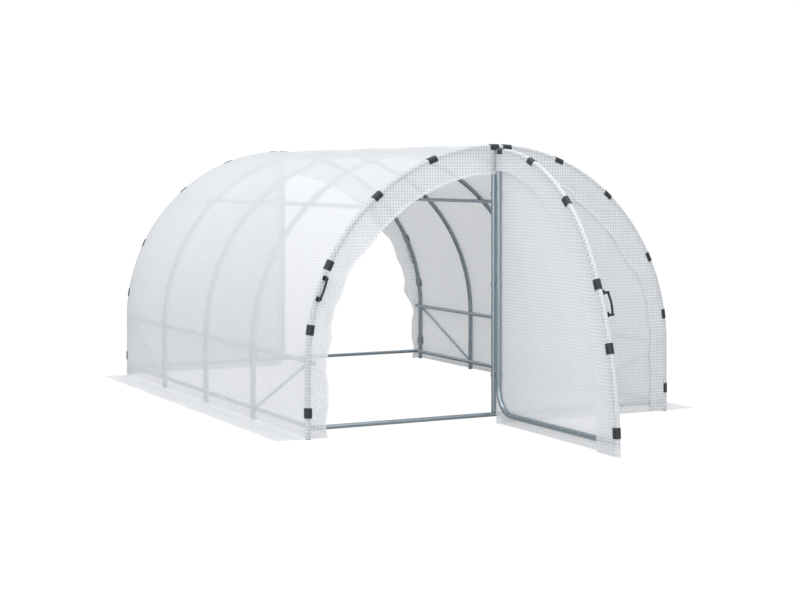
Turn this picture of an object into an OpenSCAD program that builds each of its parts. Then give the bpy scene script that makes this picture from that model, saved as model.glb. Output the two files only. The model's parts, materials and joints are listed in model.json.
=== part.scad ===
// Polytunnel greenhouse: five tube hoops under a translucent cover, with a half-width
// door at each end. X runs across the tunnel, Y along it from the front end to the back,
// and Z up from the ground. The origin is the centre of the footprint.
// Both doors are drawn as they stand in the photograph, swung straight out.

/* [Tunnel] */
// Width across the outside of the hoops
tunnel_w = 3000; // [2600:50:3600]
// Length between the middle planes of the two end hoops
tunnel_l = 4000; // [3600:100:5600]
// Height at which the straight legs turn into the round arch
spring_z = 520; // [450:5:700]
// Distance of the end post from the middle, towards the doorway
post_side = 20; // [0:5:40]

/* [Frame tubes] */
// Diameter of the hoop, post and door tubes
tube_d = 38; // [30:1:42]
// Diameter of the rails along the tunnel and of the ground bars
rail_d = 32; // [24:1:36]
// Diameter of the diagonal braces
brace_d = 19; // [14:1:24]
// Height of the middle of the ground rails and ground bars
rail_z = 75; // [70:5:110]
// Angle of the upper side rails above the spring line
purlin_angle = 47; // [35:1:60]

/* [Cover] */
// Thickness that the cover is drawn with
sheet_t = 1.5; // [1:0.5:2]
// Width of the skirt that lies on the ground on each long side
skirt_w = 220; // [150:10:400]
// Width of the end flap at the top of the hoop
flap_top_w = 210; // [180:5:300]
// Width of the end flap beside the legs
flap_leg_w = 160; // [120:5:175]
// Height of the end flaps' lower edge above the ground
hem_z = 6; // [4:1:20]
// How far the back of an end panel lies behind the front of the hoops
panel_recess = 2.7; // [2.4:0.1:6]

/* [Doors] */
// Distance of the hinge line in front of the end post
hinge_out = 60; // [56:1:80]
// Distance of the hinge line beside the end post
hinge_side = 6; // [0:1:12]
// How far the top of the door's tube lies under the top of the hoop's
leaf_drop = 31; // [25:1:120]
// Radius of the door's top arch, as a share of the hoops'
leaf_arch_share = 0.908; // [0.85:0.002:0.94]
// Angle over which the top arch turns before the long side curve takes over
leaf_turn = 63; // [55:1:70]
// Radius of the long side curve down to the door's foot, as a share of the hoops'
leaf_side_share = 1.793; // [1.65:0.001:1.95]
// Height of the middle of the door's lower tube
leaf_low_z = 90; // [90:5:140]
// Radius of the bend at the door's lower hinge corner
leaf_bend_r = 180; // [120:10:300]
// Height of the door cover's hem above the ground
leaf_hem_z = 10; // [10:1:40]
// Width of the folded edge strip on the door's inner side
strip_w = 185; // [150:5:220]
// Heights of the door hinges
hinge_heights = [360, 1010, 1660];
// Height of one hinge band
hinge_h = 30; // [20:2:40]

/* [Clips and handles] */
// Length of one cover clip along the tube
clip_l = 70; // [50:5:90]
// Thickness of the clip's wall
clip_t = 2.5; // [2:0.5:3.5]
// Length of the straight lip at each edge of a clip
clip_lip = 18; // [8:1:24]
// Height of the clip on each leg
leg_clip_z = 180; // [150:5:260]
// Angles of the clips on one side of an arch from its top, besides the one over the handle
clip_angles = [20.8, 40.2, 81.3];
// Distance of the pair of top clips from the middle, away from the doorway
top_clip_side = 30; // [0:5:40]
// Space between the two top clips
top_clip_gap = 35; // [20:5:60]
// Angles of the clips on the door's top arch, from the vertical
leaf_clip_angles = [2, 19.8, 42.2];
// Clips on the door's side curve, as shares of the way from its hem to the arch,
// with the one over the door handle first
leaf_side_clips = [0.872, 0.537, 0.115];
// Height of the middle of the handle on the hoop
handle_z = 1025; // [800:5:1200]
// Space between the handle on the hoop and the clip above it
hoop_handle_gap = 43; // [10:1:80]
// Space between the handle on the door and the clip above it
door_handle_gap = 4; // [2:1:30]
// Distance between the two feet of a handle
handle_l = 150; // [110:5:200]
// How far the grip bows out in the middle
handle_bow = 10; // [4:1:16]
// Clear depth between the cover and the grip
handle_depth = 32; // [28:1:45]
// Diameter of the grip
grip_d = 16; // [14:1:24]

/* [Hidden] */
// Clearance between pieces that rest on each other
rest_gap = 0.3;
// Clearance of a hinge band round the door's turning tube
turn_gap = 0.5;
// Groove that shows where one tube of the door is pushed into the next
joint_groove = 2;
// Wall of a hinge band
band_t = 3;
// Room beside the hinge bands in the cut-outs of the end panels and the door covers
panel_notch_gap = 4;
door_notch_gap = 10;
// How far the door's tubes run on past each other at its corners
tube_tail = 6;
// Length of the spigot inside the joint of the door's two curves
spigot_l = 60;
// Thickness of a handle's feet, and how much thicker than the grip its risers are
foot_t = 6;
riser_extra = 2;
tube_r = tube_d / 2;
// Narrowed end of a tube that is pushed into the next one
spigot_d = tube_d - 4;
rail_r = rail_d / 2;
brace_r = brace_d / 2;
hoop_r = tunnel_w / 2 - tube_r;
bay_l = tunnel_l / 4;
end_y = tunnel_l / 2;
// The cover lies between these two distances from the middle of a tube
skin_in = tube_r + rest_gap;
skin_out = skin_in + sheet_t;
// A clip lies on the cover
clip_in = skin_out + rest_gap;
clip_out = clip_in + clip_t;
// The rails run along the inside of the hoops
rail_r_line = hoop_r - tube_r - rest_gap - rail_r;
// The end panels lie this far in front of the end planes, with the ground bars and the
// ends of the rails behind them
panel_y = tube_r - panel_recess;
bar_y = panel_y - rest_gap - rail_r;
rail_reach = end_y + panel_y - rest_gap;
// The door's two curves: radii to the middle of its tube, and centres measured outwards
// from the hinge line and upwards
leaf_top_z = spring_z + hoop_r - leaf_drop;
leaf_arch_r = leaf_arch_share * hoop_r;
leaf_side_r = leaf_side_share * hoop_r;
leaf_arch_c = [0, leaf_top_z - leaf_arch_r];
leaf_side_c = leaf_arch_c + (leaf_arch_r - leaf_side_r) * [sin(leaf_turn), cos(leaf_turn)];
leaf_foot_z = leaf_low_z - tube_r - tube_tail;
leaf_foot_angle = asin((leaf_foot_z - leaf_side_c[1]) / leaf_side_r);
leaf_hem_angle = asin((leaf_hem_z - leaf_side_c[1]) / leaf_side_r);
// Angles of the handles above the horizontal, and of the clip over the handle on the hoop
// from the top
degree = 180 / PI;
handle_reach = handle_l / 2 + grip_d + clip_l / 2;
hoop_handle_angle = asin((handle_z - spring_z) / hoop_r);
handle_clip_angle = 90 - hoop_handle_angle - (handle_reach + hoop_handle_gap) / hoop_r * degree;
door_handle_angle = side_clip_angle(leaf_side_clips[0])
    - (handle_reach + door_handle_gap) / leaf_side_r * degree;
leaf_open = 90;
big = 4 * tunnel_w;

$fn = 64;

STEEL = [0.72, 0.76, 0.79];
SHEET = [0.90, 0.93, 0.93, 0.55];
PLASTIC = [0.22, 0.25, 0.27];

// Angle above the horizontal of a clip on the door's side curve
function side_clip_angle(share) =
    leaf_hem_angle + share * (90 - leaf_turn - leaf_hem_angle);

// A section turned round a centre in the end plane, from one angle to another,
// with the first coordinate outwards and the second towards the front
module turn_round(centre, from, to) {
    translate([centre[0], 0, centre[1]])
        rotate([90, 0, 0])
            rotate([0, 0, from])
                rotate_extrude(angle = to - from)
                    children();
}

module arch_turn(from, to) {
    turn_round([0, spring_z], from, to)
        children();
}

// A flat shape drawn in the end plane, given a thickness towards the front
module end_plate(back, front) {
    translate([0, -back, 0])
        rotate([90, 0, 0])
            linear_extrude(height = front - back)
                children();
}

// The area under an arch, down to a lower edge
module arch_area(radius, centre_z, low_z) {
    translate([0, centre_z])
        circle(r = radius, $fn = 256);
    translate([-radius, low_z])
        square([2 * radius, centre_z - low_z]);
}

// The area under an arch, cut off square at its lower edge
module arch_shape(radius, centre_z, low_z) {
    intersection() {
        arch_area(radius, centre_z, low_z);
        translate([-big, low_z])
            square([2 * big, big]);
    }
}

// One quarter of a thin round shell, from straight out to straight forward
module shell_quarter(inner, outer) {
    intersection() {
        difference() {
            circle(r = outer);
            circle(r = inner);
        }
        square(2 * outer);
    }
}

// Places its children at the front end, or turned half round at the back
module at_end(back) {
    rotate([0, 0, back ? 180 : 0])
        translate([0, -end_y, 0])
            children();
}

// Places a door drawn closed along +X from its hinge line
module at_door(back) {
    at_end(back)
        translate([hinge_side - post_side, -hinge_out, 0])
            rotate([0, 0, leaf_open])
                mirror([1, 0, 0])
                    children();
}

// The door's outline, moved inwards by a distance and cut off at its lower edge
module leaf_area(inset, low_z) {
    intersection() {
        union() {
            translate(leaf_arch_c)
                circle(r = leaf_arch_r - inset, $fn = 256);
            intersection() {
                translate(leaf_side_c)
                    circle(r = leaf_side_r - inset, $fn = 256);
                translate(leaf_arch_c)
                    rotate(90 - leaf_turn)
                        translate([-big, -big])
                            square([2 * big, big]);
            }
        }
        translate([0, low_z])
            square([big, 2 * big]);
    }
}

// A section carried along the door's two curves, from its foot to its top,
// with a groove where the curves meet
module leaf_sweep(foot_angle) {
    groove_angle = joint_groove / leaf_side_r * degree;
    turn_round(leaf_side_c, foot_angle, 90 - leaf_turn - groove_angle)
        translate([leaf_side_r, 0])
            children();
    turn_round(leaf_arch_c, 90 - leaf_turn, 90)
        translate([leaf_arch_r, 0])
            children();
}

// A tube along Y between two places
module tube_along(x, z, diameter, from, to) {
    translate([x, from, z])
        rotate([-90, 0, 0])
            cylinder(d = diameter, h = to - from);
}

// Frame

module hoop(y) {
    color(STEEL)
        translate([0, y, 0]) {
            arch_turn(0, 180)
                translate([hoop_r, 0])
                    circle(d = tube_d);
            for (side = [-1, 1])
                translate([side * hoop_r, 0, 0])
                    cylinder(d = tube_d, h = spring_z);
        }
}

module long_rail(x, z) {
    color(STEEL)
        tube_along(x, z, rail_d, -rail_reach, rail_reach);
}

module ground_rail(side) {
    long_rail(side * rail_r_line, rail_z);
}

module mid_rail(side) {
    long_rail(side * rail_r_line, spring_z);
}

module purlin(side) {
    long_rail(side * rail_r_line * cos(purlin_angle), spring_z + rail_r_line * sin(purlin_angle));
}

module ridge_rail() {
    color(STEEL)
        tube_along(0, spring_z + rail_r_line, rail_d, -end_y + skin_in, end_y - skin_in);
}

// A brace from the end hoop at mid height down to the foot of the next hoop,
// in the plane of the legs, with its ends coped round them
module brace(side, back) {
    rise = spring_z - rail_z;
    color(STEEL)
        rotate([0, 0, back ? 180 : 0])
            translate([side * hoop_r, -end_y, 0])
                difference() {
                    translate([0, 0, spring_z])
                        rotate([-90 - atan2(rise, bay_l), 0, 0])
                            cylinder(d = brace_d, h = norm([rise, bay_l]));
                    for (y = [0, bay_l])
                        translate([0, y, 0])
                            cylinder(r = tube_r + rest_gap, h = spring_z + tube_d);
                }
}

// A bar across the end between the two ground rails
module ground_bar(back) {
    reach = rail_r_line - rail_r - rest_gap;
    color(STEEL)
        at_end(back)
            translate([-reach, -bar_y, rail_z])
                rotate([0, 90, 0])
                    cylinder(d = rail_d, h = 2 * reach);
}

module post(back) {
    foot = rail_z + rail_r + rest_gap;
    color(STEEL)
        at_end(back)
            translate([-post_side, 0, foot])
                cylinder(d = tube_d, h = spring_z + hoop_r - tube_r - 2 * rest_gap - foot);
}

// Cover

module main_cover() {
    inner = hoop_r + skin_in;
    outer = hoop_r + skin_out;
    color(SHEET)
        translate([0, end_y, 0])
            rotate([90, 0, 0])
                linear_extrude(height = tunnel_l)
                    difference() {
                        union() {
                            arch_shape(outer, spring_z, 0);
                            translate([-outer - skirt_w, 0])
                                square([2 * (outer + skirt_w), sheet_t]);
                        }
                        arch_shape(inner, spring_z, -1);
                    }
}

// The cover's edge rolled over the end hoop and hanging down in front of it
module end_flap(back) {
    outline = hoop_r + tube_r;
    edge_r = outline - flap_leg_w;
    color(SHEET)
        at_end(back) {
            arch_turn(0, 180)
                translate([hoop_r, 0])
                    shell_quarter(skin_in, skin_out);
            for (side = [0, 1])
                mirror([side, 0, 0])
                    translate([hoop_r, 0, hem_z])
                        mirror([0, 1, 0])
                            linear_extrude(height = spring_z - hem_z)
                                shell_quarter(skin_in, skin_out);
            end_plate(skin_in, skin_out)
                difference() {
                    arch_shape(hoop_r, spring_z, hem_z);
                    arch_shape(edge_r, spring_z + flap_leg_w - flap_top_w, 0);
                }
        }
}

// The fixed half of an end wall, tucked between the post and the hoop
module end_panel(back) {
    edge = sqrt(pow(tube_r, 2) - pow(panel_y, 2)) + rest_gap;
    color(SHEET)
        at_end(back)
            end_plate(panel_y, panel_y + sheet_t)
                difference() {
                    intersection() {
                        arch_shape(hoop_r - edge, spring_z, hem_z);
                        translate([edge - post_side, 0])
                            square(big);
                    }
                    for (z = hinge_heights)
                        translate([-post_side, z - hinge_h])
                            square([tube_r + band_t + panel_notch_gap, 2 * hinge_h]);
                }
}

// Clips

// Straight lip of a clip, with a rounded edge
module clip_lip_section() {
    translate([-clip_lip, clip_in])
        square([clip_lip, clip_t]);
    translate([-clip_lip, clip_in + clip_t / 2])
        circle(d = clip_t);
}

// Section of a clip: a saddle over the outer front of the tube with a lip at each edge
module clip_section() {
    shell_quarter(clip_in, clip_out);
    clip_lip_section();
    rotate(-90)
        mirror([1, 0])
            clip_lip_section();
}

module cover_clips(back) {
    spread = clip_l / 2 / hoop_r * degree;
    pair = (clip_l + top_clip_gap) / 2 / hoop_r * degree;
    shift = top_clip_side / hoop_r * degree;
    color(PLASTIC)
        at_end(back) {
            for (side = [0, 1])
                mirror([side, 0, 0]) {
                    for (angle = concat(clip_angles, handle_clip_angle))
                        arch_turn(90 - angle - spread, 90 - angle + spread)
                            translate([hoop_r, 0])
                                clip_section();
                    translate([hoop_r, 0, leg_clip_z - clip_l / 2])
                        mirror([0, 1, 0])
                            linear_extrude(height = clip_l)
                                clip_section();
                }
            for (angle = [-pair, pair])
                arch_turn(90 - shift - angle - spread, 90 - shift - angle + spread)
                    translate([hoop_r, 0])
                        clip_section();
        }
}

// Hinges: a band clamped round the post, joined to a band round the door's turning tube

module hinges(back) {
    reach = norm([hinge_side, hinge_out]);
    turn = atan2(-hinge_out, hinge_side);
    color(STEEL)
        at_end(back)
            for (z = hinge_heights)
                translate([-post_side, 0, z - hinge_h / 2])
                    rotate([0, 0, turn])
                        linear_extrude(height = hinge_h)
                            difference() {
                                union() {
                                    circle(r = tube_r + rest_gap + band_t);
                                    translate([reach, 0])
                                        circle(r = tube_r + turn_gap + band_t);
                                    translate([0, -band_t])
                                        square([reach, 2 * band_t]);
                                }
                                circle(r = tube_r + rest_gap);
                                translate([reach, 0])
                                    circle(r = tube_r + turn_gap);
                            }
}

// Handles: two feet on the cover with a bowed grip between them

// A handle whose grip stands in front of a tube that lies along Z
module handle() {
    foot_y = skin_out + rest_gap;
    grip_y = foot_y + handle_depth + grip_d / 2;
    half = handle_l / 2;
    bow_r = (pow(half, 2) + pow(handle_bow, 2)) / (2 * handle_bow);
    bow_angle = asin(half / bow_r);
    for (side = [-1, 1])
        translate([0, -foot_y, side * half])
            rotate([90, 0, 0]) {
                cylinder(d = grip_d + riser_extra, h = grip_y - foot_y + (grip_d + riser_extra) / 2);
                translate([-grip_d, -grip_d, 0])
                    cube([grip_d * 2, grip_d * 2, foot_t]);
            }
    translate([0, bow_r - handle_bow - grip_y, 0])
        rotate([0, 90, 0])
            rotate([0, 0, -90 - bow_angle])
                rotate_extrude(angle = 2 * bow_angle)
                    translate([bow_r, 0])
                        circle(d = grip_d);
}

// Puts its children on a curve, at an angle above the horizontal
module at_handle(centre, radius, angle) {
    translate([centre[0], 0, centre[1]])
        rotate([0, -angle, 0])
            translate([radius, 0, 0])
                children();
}

module jamb_handle(back) {
    color(PLASTIC)
        at_end(back)
            mirror([1, 0, 0])
                at_handle([0, spring_z], hoop_r, hoop_handle_angle)
                    handle();
}

// Doors, drawn closed along +X from the hinge line

module door_frame(back) {
    foot_reach = leaf_side_c[0] + sqrt(pow(leaf_side_r, 2) - pow(leaf_low_z - leaf_side_c[1], 2));
    color(STEEL)
        at_door(back) {
            // Stile, with its narrowed end pushed into the arch
            translate([0, 0, leaf_low_z + leaf_bend_r]) {
                cylinder(d = tube_d, h = leaf_top_z - tube_r - joint_groove - leaf_low_z - leaf_bend_r);
                cylinder(d = spigot_d, h = leaf_top_z - leaf_low_z - leaf_bend_r);
            }
            turn_round([leaf_bend_r, leaf_low_z + leaf_bend_r], 180, 270)
                translate([leaf_bend_r, 0])
                    circle(d = tube_d);
            translate([leaf_bend_r, 0, leaf_low_z])
                rotate([0, 90, 0])
                    cylinder(d = tube_d, h = foot_reach - leaf_bend_r);
            leaf_sweep(leaf_foot_angle)
                circle(d = tube_d);
            // Spigot inside the joint of the two curves
            translate([leaf_arch_c[0], 0, leaf_arch_c[1]])
                rotate([0, leaf_turn - 90, 0])
                    translate([leaf_arch_r, 0, 0])
                        cylinder(d = spigot_d, h = spigot_l, center = true);
            translate([-tube_r - tube_tail, 0, leaf_top_z])
                rotate([0, 90, 0])
                    cylinder(d = tube_d, h = tube_r + tube_tail);
        }
}

module door_panel(back) {
    color(SHEET)
        at_door(back)
            end_plate(skin_in, skin_out)
                difference() {
                    leaf_area(0, leaf_hem_z);
                    for (z = hinge_heights)
                        translate([-1, z - hinge_h])
                            square([tube_r + band_t + door_notch_gap, 2 * hinge_h]);
                }
}

// The door cover's edge: half a roll round the tube, and a flat strip on the inner side
module strip_section() {
    intersection() {
        difference() {
            circle(r = skin_out);
            circle(r = skin_in);
        }
        translate([0, -skin_out])
            square(2 * skin_out);
    }
    translate([tube_r - strip_w, -skin_out])
        square([strip_w - tube_r, sheet_t]);
}

// The edge of the door cover, sewn from two lengths that part at the groove
module door_strip(back) {
    color(SHEET)
        at_door(back)
            leaf_sweep(leaf_hem_angle)
                strip_section();
}

module door_clips(back) {
    color(PLASTIC)
        at_door(back)
            for (flip = [0, 1])
                mirror([0, flip, 0]) {
                    for (angle = leaf_clip_angles)
                        door_clip(leaf_arch_c, leaf_arch_r, angle);
                    for (share = leaf_side_clips)
                        door_clip(leaf_side_c, leaf_side_r, 90 - side_clip_angle(share));
                }
}

// Half of a clip on the door: it wraps the tube from the outer to the inner side
module door_clip(centre, radius, angle) {
    spread = clip_l / radius * 90 / PI;
    turn_round(centre, 90 - angle - spread, 90 - angle + spread)
        translate([radius, 0]) {
            shell_quarter(clip_in, clip_out);
            clip_lip_section();
        }
}

module door_handle(back) {
    color(PLASTIC)
        at_door(back)
            at_handle(leaf_side_c, leaf_side_r, door_handle_angle)
                handle();
}

hoop(-end_y);  // hoop_front
hoop(-end_y + bay_l);  // hoop_second
hoop(0);  // hoop_middle
hoop(end_y - bay_l);  // hoop_fourth
hoop(end_y);  // hoop_back
ground_rail(-1);  // ground_rail_left
ground_rail(1);  // ground_rail_right
mid_rail(-1);  // mid_rail_left
mid_rail(1);  // mid_rail_right
purlin(-1);  // purlin_left
purlin(1);  // purlin_right
ridge_rail();
brace(-1, false);  // brace_front_left
brace(1, false);  // brace_front_right
brace(1, true);  // brace_back_left
brace(-1, true);  // brace_back_right
ground_bar(false);  // ground_bar_front
ground_bar(true);  // ground_bar_back
post(false);  // post_front
post(true);  // post_back
main_cover();
end_flap(false);  // end_flap_front
end_flap(true);  // end_flap_back
end_panel(false);  // end_panel_front
end_panel(true);  // end_panel_back
cover_clips(false);  // cover_clips_front
cover_clips(true);  // cover_clips_back
hinges(false);  // hinges_front
hinges(true);  // hinges_back
jamb_handle(false);  // jamb_handle_front
jamb_handle(true);  // jamb_handle_back
door_frame(false);  // door_frame_front
door_panel(false);  // door_panel_front
door_strip(false);  // door_strip_front
door_clips(false);  // door_clips_front
door_handle(false);  // door_handle_front
door_frame(true);  // door_frame_back
door_panel(true);  // door_panel_back
door_strip(true);  // door_strip_back
door_clips(true);  // door_clips_back
door_handle(true);  // door_handle_back
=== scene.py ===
"""The looks of a polytunnel greenhouse: a translucent woven cover on a galvanised frame."""

import json
import math

import bpy
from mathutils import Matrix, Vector


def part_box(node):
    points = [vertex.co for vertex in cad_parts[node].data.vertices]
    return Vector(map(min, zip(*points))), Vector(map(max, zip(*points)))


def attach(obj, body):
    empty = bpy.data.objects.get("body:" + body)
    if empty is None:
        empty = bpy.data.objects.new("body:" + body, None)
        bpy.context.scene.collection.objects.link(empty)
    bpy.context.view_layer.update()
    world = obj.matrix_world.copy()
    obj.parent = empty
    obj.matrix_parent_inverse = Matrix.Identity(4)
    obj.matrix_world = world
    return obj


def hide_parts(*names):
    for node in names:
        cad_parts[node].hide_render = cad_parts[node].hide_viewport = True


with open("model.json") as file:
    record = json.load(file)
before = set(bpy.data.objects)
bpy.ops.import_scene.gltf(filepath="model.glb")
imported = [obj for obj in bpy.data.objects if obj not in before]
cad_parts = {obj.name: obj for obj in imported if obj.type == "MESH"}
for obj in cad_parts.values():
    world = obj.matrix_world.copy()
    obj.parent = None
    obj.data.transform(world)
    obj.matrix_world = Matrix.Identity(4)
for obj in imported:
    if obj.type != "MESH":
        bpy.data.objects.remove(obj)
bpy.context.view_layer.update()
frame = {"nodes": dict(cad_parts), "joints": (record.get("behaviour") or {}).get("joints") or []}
nodes = frame["nodes"]

# Sizes from the frame, in metres
hoop_low, hoop_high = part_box("hoop_front")
TUBE_R = (hoop_high.y - hoop_low.y) / 2
HOOP_R = hoop_high.x - TUBE_R
SPRING_Z = hoop_high.z - hoop_high.x
END_Y = -(hoop_high.y + hoop_low.y) / 2
HINGE = {j["name"]: Vector(j["pos_m"]) for j in frame["joints"]}
HINGE_X = HINGE["door_front_hinge"].x
HINGE_OUT = -HINGE["door_front_hinge"].y - END_Y
LEAF_TOP_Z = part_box("door_frame_front")[1].z - TUBE_R
LEAF_HEM_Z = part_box("door_panel_front")[0].z
FLAP_HEM_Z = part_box("end_flap_front")[0].z

# The door's outline: a top arch that turns into a flatter side curve
LEAF_TURN = math.radians(63)
LEAF_ARCH_R = 0.908 * HOOP_R
LEAF_SIDE_R = 1.793 * HOOP_R

# The sheet: how it lies on the tube and the ground, its grid and its tint
SHEET_OUT = TUBE_R + 0.0011
GROUND_LIFT = 0.0016
THREAD_PITCH = 0.0222
THREAD_WIDTH = 0.0091
THREAD_BLUR = 0.05
SHEET_TINT = (0.99, 1.0, 1.017)

# The main cover
LEFT_SKIRT = 0.218
RIGHT_SKIRT = 0.27
SKIRT_FOLD = 0.014
SKIRT_LIFT = 0.003
SKIRT_WAVES = [(0.0016, 0.83, 0.1), (0.0013, 0.47, 0.35)]
BAY_SAG = 0.004
SAG_START = 0.25
SAG_FULL = 0.9

# The flaps: widths by the angle in degrees down from the top of the hoop, and waves by length
DOORWAY_FLAP_TOP = [(48, 0.212), (66, 0.168), (84, 0.160)]
DOORWAY_FLAP_LEG_FRONT = 0.151
DOORWAY_FLAP_LEG_BACK = 0.093
DOORWAY_FLAP_WAVES = [(0.0085, 0.39, -0.49), (0.0030, 0.17, 0.2)]
PANEL_FLAP_WIDTHS = [(28.5, 0.186), (31, 0.224), (60, 0.216), (69, 0.166), (200, 0.166)]
PANEL_FLAP_WAVES = [(0.0055, 0.31, 0.25), (0.0025, 0.14, 0.6)]
FLAP_SWELL = 0.0045
FLAP_SWELL_WAVES = [(0.0032, 0.39, -0.4), (0.0020, 0.23, 0.3)]
HEM_CURL = 0.007

# The flat sheets: a slight belly, and ripples by height, turns across and turns up
BELLY = 0.002
PANEL_RIPPLES = [(0.0018, 9, 2.2), (0.0012, 17, -5)]
DOOR_RIPPLES = [(0.0016, 8, -3), (0.0010, 15, 6)]
DOOR_CORNER_DROOP = 0.006

# The rolled edge of a door: widths and waves by the length from its foot
DOOR_EDGE_WIDTHS = [(0.1, 0.207), (0.6, 0.165), (1.27, 0.182), (2.15, 0.164), (2.75, 0.139)]
DOOR_EDGE_WAVES = [(0.0014, 0.37, 0.0), (0.0010, 0.21, 0.4)]
DOOR_EDGE_BELOW_HEM = 0.006
DOOR_EDGE_LIFT = 0.0016
ROLL_STEPS = 16
DOUBLED_STEPS = 11

# The camera, as it stood for the photograph
CAMERA_PLACE = (-5.927, -12.116, 1.798)
CAMERA_TURN = math.radians(26.97)
CAMERA_FOCAL_PIXELS = 1621.3
HORIZON_PIXEL_Y = 175.3
PHOTO_WIDTH = 800
PHOTO_HEIGHT = 600

# The light
WHITE_TO_CAMERA = 1.05
SKY_COLOUR = (0.97, 0.985, 1.0)
SKY_LOW = 0.51
SKY_TOP = 1.70
BOX_SIDE = (-0.66, -0.75, 0.0)
BOX_STRENGTH = 1.35
BOX_EDGE = 0.72
BOX_MIDDLE = 0.95
KEY_STRENGTH = 0.3
KEY_DIRECTION = (-0.5, -0.3, 1.0)
KEY_ANGLE = math.radians(20)
FLOOR_BOUNCE = 0.52


# Materials

def new_material(name):
    material = bpy.data.materials.new(name)
    material.use_nodes = True
    tree = material.node_tree
    tree.nodes.clear()
    output = tree.nodes.new("ShaderNodeOutputMaterial")
    return material, tree, output


def node(tree, kind, **values):
    made = tree.nodes.new(kind)
    for key, value in values.items():
        setattr(made, key, value)
    return made


def maths(tree, operation, first, second=None):
    made = tree.nodes.new("ShaderNodeMath")
    made.operation = operation
    for socket, value in zip(made.inputs, (first, second)):
        if value is None:
            continue
        if isinstance(value, (int, float)):
            socket.default_value = value
        else:
            tree.links.new(value, socket)
    return made.outputs[0]


def thread_mask(tree, coordinate):
    """1 on a thread and 0 between threads, along one direction of the weave."""
    turns = maths(tree, "DIVIDE", coordinate, THREAD_PITCH)
    part = maths(tree, "FRACT", turns)
    away = maths(tree, "ABSOLUTE", maths(tree, "SUBTRACT", part, 0.5))
    half = THREAD_WIDTH / THREAD_PITCH / 2
    ramp = node(tree, "ShaderNodeMapRange", interpolation_type="SMOOTHSTEP")
    tree.links.new(away, ramp.inputs["Value"])
    ramp.inputs["From Min"].default_value = half + THREAD_BLUR
    ramp.inputs["From Max"].default_value = half - THREAD_BLUR
    return ramp.outputs["Result"]


def sheet_material(name, film_opacity, thread_opacity, film_shade, thread_shade):
    """Translucent film over a square grid of whiter, denser threads. The film and thread tones
    passed in also carry painted shade, set apart for each part of the tunnel.
    """
    material, tree, output = new_material(name)
    weave = node(tree, "ShaderNodeUVMap", uv_map="weave")
    parts = node(tree, "ShaderNodeSeparateXYZ")
    tree.links.new(weave.outputs["UV"], parts.inputs[0])
    mask = maths(
        tree,
        "MAXIMUM",
        thread_mask(tree, parts.outputs["X"]),
        thread_mask(tree, parts.outputs["Y"]),
    )
    colour = node(tree, "ShaderNodeMix", data_type="RGBA")
    colour.inputs["A"].default_value = (*[c * film_shade for c in SHEET_TINT], 1)
    colour.inputs["B"].default_value = (*[c * thread_shade for c in SHEET_TINT], 1)
    tree.links.new(mask, colour.inputs["Factor"])
    bump = node(tree, "ShaderNodeBump")
    bump.inputs["Distance"].default_value = 0.0004
    bump.inputs["Strength"].default_value = 0.5
    tree.links.new(mask, bump.inputs["Height"])
    face = node(tree, "ShaderNodeBsdfPrincipled")
    face.inputs["Roughness"].default_value = 0.42
    face.inputs["Specular IOR Level"].default_value = 0.35
    tree.links.new(colour.outputs["Result"], face.inputs["Base Color"])
    tree.links.new(bump.outputs["Normal"], face.inputs["Normal"])
    through = node(tree, "ShaderNodeBsdfTranslucent")
    tree.links.new(colour.outputs["Result"], through.inputs["Color"])
    body = node(tree, "ShaderNodeMixShader")
    body.inputs["Fac"].default_value = 0.27
    tree.links.new(face.outputs[0], body.inputs[1])
    tree.links.new(through.outputs[0], body.inputs[2])
    clear = node(tree, "ShaderNodeBsdfTransparent")
    opacity = node(tree, "ShaderNodeMapRange")
    opacity.inputs["To Min"].default_value = film_opacity
    opacity.inputs["To Max"].default_value = thread_opacity
    tree.links.new(mask, opacity.inputs["Value"])
    mixed = node(tree, "ShaderNodeMixShader")
    tree.links.new(opacity.outputs["Result"], mixed.inputs["Fac"])
    tree.links.new(clear.outputs[0], mixed.inputs[1])
    tree.links.new(body.outputs[0], mixed.inputs[2])
    tree.links.new(mixed.outputs[0], output.inputs["Surface"])
    return material


def steel_material(name):
    """Galvanised tube: blue-grey zinc with a faint spangle."""
    material, tree, output = new_material(name)
    place = node(tree, "ShaderNodeTexCoord")
    spangle = node(tree, "ShaderNodeTexVoronoi")
    spangle.inputs["Scale"].default_value = 90
    tree.links.new(place.outputs["Object"], spangle.inputs["Vector"])
    grain = node(tree, "ShaderNodeTexNoise")
    grain.inputs["Scale"].default_value = 22
    grain.inputs["Detail"].default_value = 5
    tree.links.new(place.outputs["Object"], grain.inputs["Vector"])
    colour = node(tree, "ShaderNodeMix", data_type="RGBA")
    colour.inputs["A"].default_value = (0.33, 0.385, 0.42, 1)
    colour.inputs["B"].default_value = (0.375, 0.43, 0.465, 1)
    tree.links.new(spangle.outputs["Color"], colour.inputs["Factor"])
    rough = node(tree, "ShaderNodeMapRange")
    rough.inputs["To Min"].default_value = 0.23
    rough.inputs["To Max"].default_value = 0.30
    tree.links.new(grain.outputs["Fac"], rough.inputs["Value"])
    face = node(tree, "ShaderNodeBsdfPrincipled")
    face.inputs["Metallic"].default_value = 0.92
    tree.links.new(colour.outputs["Result"], face.inputs["Base Color"])
    tree.links.new(rough.outputs["Result"], face.inputs["Roughness"])
    tree.links.new(face.outputs[0], output.inputs["Surface"])
    return material


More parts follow.
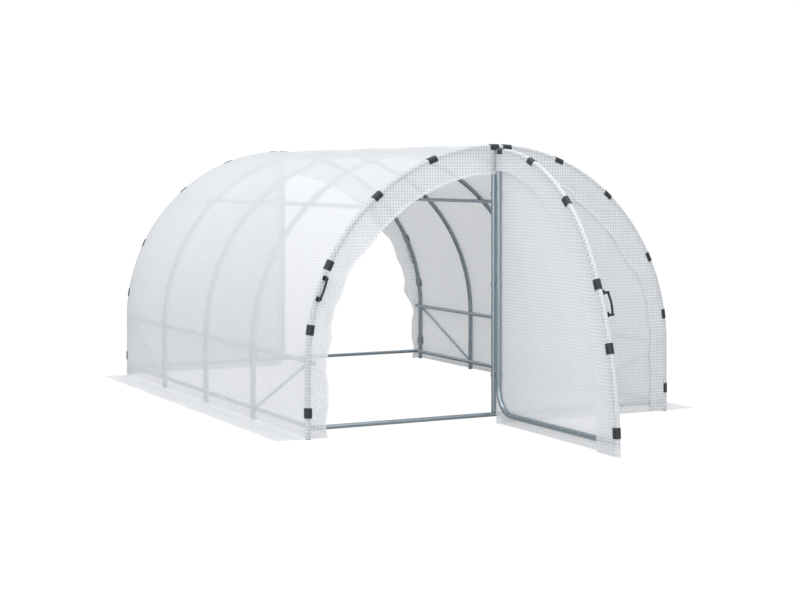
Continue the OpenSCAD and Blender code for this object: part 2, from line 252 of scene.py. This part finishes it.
def plastic_material(name, colour, roughness):
    """Moulded plastic with a fine grain."""
    material, tree, output = new_material(name)
    place = node(tree, "ShaderNodeTexCoord")
    grain = node(tree, "ShaderNodeTexNoise")
    grain.inputs["Scale"].default_value = 700
    grain.inputs["Detail"].default_value = 3
    tree.links.new(place.outputs["Object"], grain.inputs["Vector"])
    bump = node(tree, "ShaderNodeBump")
    bump.inputs["Distance"].default_value = 0.0002
    bump.inputs["Strength"].default_value = 0.35
    tree.links.new(grain.outputs["Fac"], bump.inputs["Height"])
    tone = node(tree, "ShaderNodeMix", data_type="RGBA")
    tone.inputs["A"].default_value = (*[c * 0.85 for c in colour], 1)
    tone.inputs["B"].default_value = (*[c * 1.2 for c in colour], 1)
    tree.links.new(grain.outputs["Fac"], tone.inputs["Factor"])
    face = node(tree, "ShaderNodeBsdfPrincipled")
    face.inputs["Roughness"].default_value = roughness
    tree.links.new(tone.outputs["Result"], face.inputs["Base Color"])
    tree.links.new(bump.outputs["Normal"], face.inputs["Normal"])
    tree.links.new(face.outputs[0], output.inputs["Surface"])
    return material


# Painted shade: cover, folded flaps and edges, end walls and doors are one sheet, each given its
# own lighter or darker film and thread tone in place of how the light falls on that part
COVER = sheet_material("cover_sheet", 0.77, 0.875, 0.83, 0.85)
FOLDED = sheet_material("folded_sheet", 0.66, 0.95, 0.812, 0.862)
WALL = sheet_material("wall_sheet", 0.775, 0.90, 0.775, 0.868)
DOOR = sheet_material("door_sheet", 0.74, 0.88, 0.80, 0.835)
DOUBLED = sheet_material("doubled_sheet", 0.88, 0.97, 0.865, 0.91)
STEEL = steel_material("galvanised_tube")
CLIP = plastic_material("clip_plastic", (0.016, 0.021, 0.025), 0.40)
HANDLE = plastic_material("handle_plastic", (0.008, 0.009, 0.011), 0.36)


# Mesh helpers

def grid_piece(name, points, weave, material, doubled=0):
    """A sheet from rows of points, with a weave coordinate in metres for each point.

    The first faces of each row, as many as doubled says, are two layers thick.
    """
    rows = len(points)
    columns = len(points[0])
    mesh = bpy.data.meshes.new(name)
    flat = [p for row in points for p in row]
    faces = [
        (i * columns + j, i * columns + j + 1, (i + 1) * columns + j + 1, (i + 1) * columns + j)
        for i in range(rows - 1)
        for j in range(columns - 1)
    ]
    mesh.from_pydata(flat, [], faces)
    layer = mesh.uv_layers.new(name="weave")
    flat_weave = [w for row in weave for w in row]
    for loop in mesh.loops:
        layer.data[loop.index].uv = flat_weave[loop.vertex_index]
    mesh.materials.append(material)
    if doubled:
        mesh.materials.append(DOUBLED)
    for polygon in mesh.polygons:
        polygon.use_smooth = True
        if polygon.index % (columns - 1) < doubled:
            polygon.material_index = 1
    piece = bpy.data.objects.new(name, mesh)
    bpy.context.scene.collection.objects.link(piece)
    return piece


def steps(first, last, count):
    return [first + (last - first) * i / count for i in range(count + 1)]


def rise(value, low, high):
    """A smooth rise from 0 at low to 1 at high."""
    t = min(1.0, max(0.0, (value - low) / (high - low)))
    return t * t * (3 - 2 * t)


def between(places, value):
    """A smooth line through a few places, each a value and a size."""
    for (low, first), (high, last) in zip(places, places[1:]):
        if value <= high:
            return first + (last - first) * rise(value, low, high)
    return places[-1][1]


def wave(s, parts):
    """A sum of sines of a length s: each part is a height, a wavelength and a start."""
    return sum(
        height * math.sin(2 * math.pi * (s / length + start))
        for height, length, start in parts
    )


def ripple(across, up, parts):
    """A sum of slanting sines: each part is a height and the turns across and up."""
    return sum(
        height * math.sin(turns_across * across + turns_up * up)
        for height, turns_across, turns_up in parts
    )


class Path:
    """A line of straight runs and turns in an upright plane, followed by its length."""

    def __init__(self, across, up, heading):
        self.runs = []
        self.length = 0.0
        self.end = (across, up, heading)

    def run(self, length, radius=0.0):
        """Goes on straight, or with a radius: above 0 it turns left, below 0 right."""
        bend = 1 / radius if radius else 0.0
        self.runs.append((self.length, self.end, bend))
        self.length += length
        self.end = self.follow(self.end, length, bend)

    @staticmethod
    def follow(start, length, bend):
        across, up, heading = start
        if not bend:
            return across + length * math.cos(heading), up + length * math.sin(heading), heading
        turned = heading + length * bend
        across += (math.sin(turned) - math.sin(heading)) / bend
        up -= (math.cos(turned) - math.cos(heading)) / bend
        return across, up, turned

    def at(self, s):
        """Place across and up, and the direction to the left of the line there."""
        start, place, bend = next(r for r in reversed(self.runs) if s >= r[0] or r[0] == 0)
        across, up, heading = self.follow(place, s - start, bend)
        return across, up, -math.sin(heading), math.cos(heading)


def sheet_piece(name, points, weave, material, replaced, body, doubled=0, **cloth):
    """A sheet that stands for a CAD node and rides on a body."""
    piece = grid_piece(name, points, weave, material, doubled)
    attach(piece, body)
    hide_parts(replaced)
    return piece


def half_round(points, turned):
    """The same points, turned half round the upright for the back end."""
    if not turned:
        return points
    return [[(-x, -y, z) for x, y, z in row] for row in points]


# The main cover, from the edge of one skirt over the hoops to the edge of the other

def main_cover():
    reach = HOOP_R + SHEET_OUT
    corner = SKIRT_FOLD * math.pi / 2
    leg = SPRING_Z - GROUND_LIFT - SKIRT_FOLD
    path = Path(-reach - LEFT_SKIRT, GROUND_LIFT, 0.0)
    path.run(LEFT_SKIRT - SKIRT_FOLD)
    path.run(corner, SKIRT_FOLD)
    path.run(leg)
    path.run(math.pi * reach, -reach)
    path.run(leg)
    path.run(corner, SKIRT_FOLD)
    path.run(RIGHT_SKIRT - SKIRT_FOLD)
    left_foot = LEFT_SKIRT - SKIRT_FOLD + corner
    right_foot = path.length - (RIGHT_SKIRT - SKIRT_FOLD + corner)
    across = (
        steps(0, left_foot - corner, 12)
        + steps(left_foot - corner, left_foot, 6)[1:]
        + steps(left_foot, right_foot, 300)[1:]
        + steps(right_foot, right_foot + corner, 6)[1:]
        + steps(right_foot + corner, path.length, 14)[1:]
    )
    bay = END_Y / 2
    points, weave = [], []
    for s in across:
        x, z, nx, nz = path.at(s)
        past_left = rise(s - left_foot, SAG_START, SAG_FULL)
        before_right = rise(right_foot - s, SAG_START, SAG_FULL)
        on_arch = past_left * before_right
        out = max(left_foot - corner - s, s - right_foot - corner, 0.0)
        row, row_weave = [], []
        for y in steps(-END_Y, END_Y, 128):
            in_bay = math.sin(math.pi * (y + END_Y) / bay) ** 2
            sag = -BAY_SAG * on_arch * in_bay
            lift = rise(out, 0.0, 0.12) * (SKIRT_LIFT + wave(y, SKIRT_WAVES))
            row.append((x + nx * sag, y, z + nz * sag + lift))
            row_weave.append((s, y + END_Y))
        points.append(row)
        weave.append(row_weave)
    sheet_piece(
        "cover_sheet", points, weave, COVER, "main_cover", "frame",
        flat=(path.length, 2 * END_Y),
        held="draped",
        rests_on=["hoop_front", "hoop_second", "hoop_middle", "hoop_fourth", "hoop_back"],
    )


# The cover's ends, rolled over the end hoops and hanging down in front of them

def flap_width(s, turned, path):
    """Width inwards from the middle of the hoop: the doorway's side comes first."""
    angle = math.degrees((s - path.length / 2) / HOOP_R)
    if angle < 0:
        leg = DOORWAY_FLAP_LEG_BACK if turned else DOORWAY_FLAP_LEG_FRONT
        base = between(DOORWAY_FLAP_TOP + [(92, leg), (200, leg)], -angle)
        loose = rise(-angle, 40, 75)
        waves = wave(s, DOORWAY_FLAP_WAVES)
    else:
        base = between(PANEL_FLAP_WIDTHS, angle)
        loose = rise(angle, 45, 70)
        waves = wave(s, PANEL_FLAP_WAVES)
    return base + loose * waves - TUBE_R


def end_flap(name, replaced, turned):
    path = Path(-HOOP_R, FLAP_HEM_Z, math.pi / 2)
    path.run(SPRING_Z - FLAP_HEM_Z)
    path.run(math.pi * HOOP_R, -HOOP_R)
    path.run(SPRING_Z - FLAP_HEM_Z)
    points, weave = [], []
    for s in steps(0, path.length, 460):
        x, z, nx, nz = path.at(s)
        flat = flap_width(s, turned, path)
        row, row_weave = [], []
        for turn in steps(0, math.pi / 2, 8):
            out = SHEET_OUT * math.cos(turn)
            over = SHEET_OUT * (math.pi / 2 - turn)
            row.append((x + nx * out, -END_Y - SHEET_OUT * math.sin(turn), z + nz * out))
            row_weave.append((x + nx * over, z + nz * over))
        for share in steps(0, 0.88, 16)[1:] + steps(0.88, 1, 6)[1:]:
            swell = share ** 1.7 * (FLAP_SWELL + wave(s, FLAP_SWELL_WAVES))
            curl = HEM_CURL * rise(share, 0.9, 1.0)
            px, pz = x - nx * share * flat, z - nz * share * flat
            row.append((px, -END_Y - SHEET_OUT - max(0.0, swell) - curl, pz))
            row_weave.append((px, pz))
        points.append(row)
        weave.append(row_weave)
    sheet_piece(
        name, half_round(points, turned), weave, FOLDED, replaced, "frame",
        flat=(path.length, 0.24),
        held="folded",
        rests_on=["hoop_back" if turned else "hoop_front"],
    )


# The fixed half of an end wall

def end_panel(name, replaced, turned):
    low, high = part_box("end_panel_front")
    depth = (low.y + high.y) / 2
    path = Path(high.x, low.z, math.pi / 2)
    path.run(SPRING_Z - low.z)
    path.run(high.x * math.pi / 2, high.x)
    points, weave = [], []
    for s in steps(0, path.length, 150):
        edge, z, _, _ = path.at(s)
        row, row_weave = [], []
        for u in steps(0, 1, 60):
            x = low.x + (max(edge, low.x) - low.x) * u
            middle = math.sin(math.pi * u) * math.sin(math.pi * s / path.length)
            row.append((x, depth - middle * (BELLY + ripple(x, z, PANEL_RIPPLES)), z))
            row_weave.append((x, z))
        points.append(row)
        weave.append(row_weave)
    sheet_piece(
        name, half_round(points, turned), weave, WALL, replaced, "frame",
        flat=(high.x - low.x, high.z - low.z),
        held="stretched",
        rests_on=["ground_bar_back" if turned else "ground_bar_front"],
    )


# The door covers, drawn open along -Y at the front end

def door_place(points, turned):
    """From a door's own place (out along it, outer side, up) to the frame's."""
    placed = [
        [(HINGE_X + outer, -END_Y - HINGE_OUT - out, z) for out, outer, z in row]
        for row in points
    ]
    return half_round(placed, turned)


def leaf_path(foot_z):
    """The door's outline from its foot up to the hinge line."""
    centre_out = (LEAF_ARCH_R - LEAF_SIDE_R) * math.sin(LEAF_TURN)
    centre_z = LEAF_TOP_Z - LEAF_ARCH_R + (LEAF_ARCH_R - LEAF_SIDE_R) * math.cos(LEAF_TURN)
    foot = math.asin((foot_z - centre_z) / LEAF_SIDE_R)
    path = Path(centre_out + LEAF_SIDE_R * math.cos(foot), foot_z, math.pi / 2 + foot)
    path.run(LEAF_SIDE_R * (math.pi / 2 - LEAF_TURN - foot), LEAF_SIDE_R)
    path.run(LEAF_ARCH_R * LEAF_TURN, LEAF_ARCH_R)
    return path


def door_panel(name, replaced, body, turned):
    path = leaf_path(LEAF_HEM_Z)
    points, weave = [], []
    for s in steps(0, path.length, 170):
        edge, z, _, _ = path.at(s)
        row, row_weave = [], []
        for u in steps(0, 1, 70):
            out = max(edge, 0.0) * u
            middle = math.sin(math.pi * u) * math.sin(math.pi * s / path.length)
            belly = middle * (BELLY + ripple(out, z, DOOR_RIPPLES))
            droop = DOOR_CORNER_DROOP * u * u * (1 - rise(z, 0.0, 0.08))
            row.append((out, SHEET_OUT + belly, z - droop))
            row_weave.append((out, z))
        points.append(row)
        weave.append(row_weave)
    sheet_piece(
        name, door_place(points, turned), weave, DOOR, replaced, body,
        flat=(path.at(0)[0], LEAF_TOP_Z - LEAF_HEM_Z),
        held="stretched",
        rests_on=["door_frame_back" if turned else "door_frame_front"],
    )


def door_strip(name, replaced, body, turned):
    """The edge of the door cover, rolled round the door's tube onto the inner side."""
    path = leaf_path(LEAF_HEM_Z - DOOR_EDGE_BELOW_HEM)
    points, weave = [], []
    for s in steps(0, path.length, 260):
        out, z, left_out, left_z = path.at(s)
        flat = between(DOOR_EDGE_WIDTHS, s) + wave(s, DOOR_EDGE_WAVES)
        row, row_weave = [], []
        for turn in steps(0, math.pi, ROLL_STEPS):
            away = SHEET_OUT * math.sin(turn)
            over = SHEET_OUT * (math.pi / 2 - turn)
            row.append((out - left_out * away, SHEET_OUT * math.cos(turn), z - left_z * away))
            row_weave.append((out - left_out * over, z - left_z * over))
        for share in steps(0, 1, 14)[1:]:
            lift = DOOR_EDGE_LIFT * share * share
            inner_out, inner_z = out + left_out * share * flat, z + left_z * share * flat
            row.append((max(inner_out, 0.0), -SHEET_OUT - lift, inner_z))
            row_weave.append((inner_out, inner_z))
        points.append(row)
        weave.append(row_weave)
    sheet_piece(
        name, door_place(points, turned), weave, FOLDED, replaced, body,
        doubled=DOUBLED_STEPS,
        flat=(path.length, 0.27),
        held="folded",
        rests_on=["door_frame_back" if turned else "door_frame_front"],
    )


# Carried-over nodes

def dress_nodes():
    for name, piece in nodes.items():
        if "handle" in name:
            material = HANDLE
        elif "clips" in name:
            material = CLIP
        else:
            material = STEEL
        piece.data.materials.clear()
        piece.data.materials.append(material)
        for polygon in piece.data.polygons:
            polygon.material_index = 0


# Studio

def studio():
    scene = bpy.context.scene
    scene.view_settings.view_transform = "Standard"
    camera_data = bpy.data.cameras.new("photo_camera")
    camera_data.lens = CAMERA_FOCAL_PIXELS / PHOTO_WIDTH * camera_data.sensor_width
    camera_data.shift_y = -(PHOTO_HEIGHT / 2 - HORIZON_PIXEL_Y) / PHOTO_WIDTH
    camera = bpy.data.objects.new("photo_camera", camera_data)
    camera.location = CAMERA_PLACE
    camera.rotation_euler = (math.pi / 2, 0, -CAMERA_TURN)
    scene.collection.objects.link(camera)
    scene.camera = camera

    bpy.ops.mesh.primitive_plane_add(size=60, location=(0, 0, 0))
    floor = bpy.context.object
    floor.name = "floor"
    floor.data.materials.append(floor_material())

    world = bpy.data.worlds.new("studio")
    scene.world = world
    world.use_nodes = True
    tree = world.node_tree
    tree.nodes.clear()
    output = tree.nodes.new("ShaderNodeOutputWorld")
    direction = node(tree, "ShaderNodeTexCoord")
    parts = node(tree, "ShaderNodeSeparateXYZ")
    tree.links.new(direction.outputs["Generated"], parts.inputs[0])
    height = node(tree, "ShaderNodeMapRange")
    height.inputs["To Min"].default_value = SKY_LOW
    height.inputs["To Max"].default_value = SKY_TOP
    tree.links.new(parts.outputs["Z"], height.inputs["Value"])
    seen = node(tree, "ShaderNodeBackground")
    seen.inputs["Color"].default_value = (1, 1, 1, 1)
    seen.inputs["Strength"].default_value = WHITE_TO_CAMERA
    light = node(tree, "ShaderNodeBackground")
    light.inputs["Color"].default_value = (*SKY_COLOUR, 1)
    facing = node(tree, "ShaderNodeVectorMath", operation="DOT_PRODUCT")
    tree.links.new(direction.outputs["Generated"], facing.inputs[0])
    facing.inputs[1].default_value = Vector(BOX_SIDE).normalized()
    box = node(tree, "ShaderNodeMapRange", interpolation_type="SMOOTHSTEP")
    box.inputs["From Min"].default_value = BOX_EDGE
    box.inputs["From Max"].default_value = BOX_MIDDLE
    box.inputs["To Max"].default_value = BOX_STRENGTH
    tree.links.new(facing.outputs["Value"], box.inputs["Value"])
    strength = maths(tree, "ADD", height.outputs["Result"], box.outputs["Result"])
    tree.links.new(strength, light.inputs["Strength"])
    path = node(tree, "ShaderNodeLightPath")
    mixed = node(tree, "ShaderNodeMixShader")
    tree.links.new(path.outputs["Is Camera Ray"], mixed.inputs["Fac"])
    tree.links.new(light.outputs[0], mixed.inputs[1])
    tree.links.new(seen.outputs[0], mixed.inputs[2])
    tree.links.new(mixed.outputs[0], output.inputs["Surface"])

    sun_data = bpy.data.lights.new("soft_key", "SUN")
    sun_data.energy = KEY_STRENGTH
    sun_data.angle = KEY_ANGLE
    sun = bpy.data.objects.new("soft_key", sun_data)
    sun.rotation_euler = Vector(KEY_DIRECTION).to_track_quat("Z", "Y").to_euler()
    scene.collection.objects.link(sun)


def floor_material():
    """Pale floor: pure white to the camera, and a softer bounce for the light."""
    material, tree, output = new_material("floor")
    seen = node(tree, "ShaderNodeEmission")
    seen.inputs["Strength"].default_value = WHITE_TO_CAMERA
    bounce = node(tree, "ShaderNodeBsdfDiffuse")
    bounce.inputs["Color"].default_value = (FLOOR_BOUNCE, FLOOR_BOUNCE, FLOOR_BOUNCE, 1)
    path = node(tree, "ShaderNodeLightPath")
    mixed = node(tree, "ShaderNodeMixShader")
    tree.links.new(path.outputs["Is Camera Ray"], mixed.inputs["Fac"])
    tree.links.new(bounce.outputs[0], mixed.inputs[1])
    tree.links.new(seen.outputs[0], mixed.inputs[2])
    tree.links.new(mixed.outputs[0], output.inputs["Surface"])
    return material


dress_nodes()
main_cover()
end_flap("front_flap_sheet", "end_flap_front", False)
end_flap("back_flap_sheet", "end_flap_back", True)
end_panel("front_panel_sheet", "end_panel_front", False)
end_panel("back_panel_sheet", "end_panel_back", True)
door_panel("front_door_sheet", "door_panel_front", "door_front", False)
door_panel("back_door_sheet", "door_panel_back", "door_back", True)
door_strip("front_door_edge", "door_strip_front", "door_front", False)
door_strip("back_door_edge", "door_strip_back", "door_back", True)
studio()
